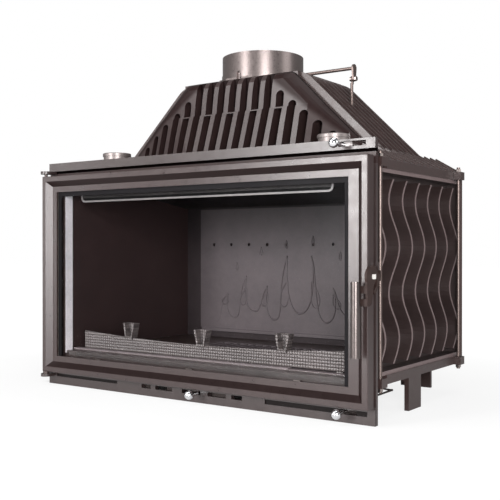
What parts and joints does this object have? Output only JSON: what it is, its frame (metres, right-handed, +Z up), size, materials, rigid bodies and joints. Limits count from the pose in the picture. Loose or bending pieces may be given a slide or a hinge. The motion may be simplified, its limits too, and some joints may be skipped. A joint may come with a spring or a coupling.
{
  "type": "fireplace insert",
  "caption": "Cast-iron fireplace insert with a glazed side-hinged door, finned hood, round flue collar with damper, air slides and wavy ribbed side plates.",
  "frame": {"origin": "middle of the front frame's bottom edge, where the frame stands on the floor", "axes": "+X to the right along the front seen from outside, +Y from the front face towards the back, +Z up along the flue"},
  "size_m": [0.9181, 0.551, 0.806],
  "materials": {
    "cast_iron_front": "satin, fine cast grain",
    "cast_iron_door": "satin, fine cast grain",
    "cast_iron_body": "satin, fine cast grain",
    "cast_iron_collar": "turned, satin",
    "cast_iron_dark": "matt",
    "steel_fittings": "bright zinc",
    "stainless_grip": "brushed along its length",
    "chrome_knobs": "polished",
    "clear_glass": "clear ceramic glass",
    "rope_seal": "woven glass fibre"
  },
  "bodies": {
    "firebox": {"front_frame": "cast_iron_front", "base_plate": "cast_iron_body", "top_plate": "cast_iron_body", "side_plate_left": "cast_iron_dark", "side_plate_right": "cast_iron_dark", "back_plate": "cast_iron_dark", "hood": "cast_iron_body", "hood_front": "cast_iron_body", "flue_collar": "cast_iron_collar", "hood_bolts": "steel_fittings", "cap_left": "cast_iron_collar", "cap_right": "cast_iron_collar", "tie_rods": "steel_fittings", "tie_rod_nuts": "steel_fittings", "side_leg_left": "cast_iron_body", "side_leg_right": "cast_iron_body", "rear_leg_left": "cast_iron_body", "rear_leg_right": "cast_iron_body", "leg_bolts": "steel_fittings", "fire_back": "cast_iron_dark", "liner_left": "cast_iron_dark", "liner_right": "cast_iron_dark", "smoke_baffle": "cast_iron_dark", "air_deflector": "cast_iron_dark", "sill_left": "cast_iron_dark", "sill_right": "cast_iron_dark", "ash_box": "cast_iron_body", "ash_pan": "steel_fittings", "hinge_lugs": "cast_iron_front", "latch_catch": "cast_iron_front", "air_wire": "steel_fittings", "slide_guides": "cast_iron_body"},
    "door": {"door_frame": "cast_iron_door", "door_glass": "clear_glass", "glass_tape": "rope_seal", "glass_clips": "steel_fittings", "clip_screws": "steel_fittings", "door_seal": "rope_seal", "hinge_pins": "steel_fittings", "hinge_washers": "steel_fittings", "handle_pivot": "steel_fittings"},
    "handle": {"handle_lever": "cast_iron_dark", "handle_grip": "stainless_grip", "grip_screws": "steel_fittings"},
    "centre_air": {"centre_air_slide": "steel_fittings", "centre_air_knob": "chrome_knobs"},
    "right_air": {"right_air_slide": "steel_fittings", "right_air_knob": "chrome_knobs"},
    "damper_control": {"control_plate": "steel_fittings", "control_knob": "chrome_knobs"},
    "damper": {"damper_disc": "cast_iron_dark", "damper_shaft": "steel_fittings", "damper_crank": "steel_fittings", "crank_bolt": "steel_fittings"},
    "damper_link": {"drop_rod": "steel_fittings"},
    "guard": {"log_guard": "cast_iron_body"},
    "fire_grate": {"grate": "cast_iron_dark"}
  },
  "joints": [
    {"name": "door_hinge", "type": "hinge", "parent": "firebox", "child": "door", "pos_m": [-0.443, -0.019, 0.274], "axis": [0, 0, -1], "range_deg": [0, 100]},
    {"name": "handle_turn", "type": "hinge", "parent": "door", "child": "handle", "pos_m": [0.4553, -0.018, 0.285], "axis": [-1, 0, 0], "range_deg": [-5, 35]},
    {"name": "centre_air_move", "type": "slide", "parent": "firebox", "child": "centre_air", "axis": [-1, 0, 0], "range_m": [0, 0.04]},
    {"name": "right_air_move", "type": "slide", "parent": "firebox", "child": "right_air", "axis": [1, 0, 0], "range_m": [0, 0.018]},
    {"name": "damper_turn", "type": "hinge", "parent": "firebox", "child": "damper", "pos_m": [0, 0.288, 0.7535], "axis": [1, 0, 0], "range_deg": [0, 80]},
    {"name": "link_swing", "type": "hinge", "parent": "damper", "child": "damper_link", "pos_m": [0.2499, 0.288, 0.7285], "axis": [1, 0, 0], "range_deg": [-105, 0]},
    {"name": "damper_control_move", "type": "slide", "parent": "firebox", "child": "damper_control", "axis": [1, 0, 0], "range_m": [0, 0.0465]},
    {"name": "guard_lift", "type": "slide", "parent": "firebox", "child": "guard", "axis": [0, 0, 1], "range_m": [0, 0.08]},
    {"name": "grate_lift", "type": "slide", "parent": "firebox", "child": "fire_grate", "axis": [0, 0, 1], "range_m": [0, 0.06]}
  ],
  "couplings": [
    {"joint": "link_swing", "follows": "damper_turn", "ratio": -1.3},
    {"joint": "damper_control_move", "follows": "damper_turn", "m_per_rad": 0.033}
  ]
}
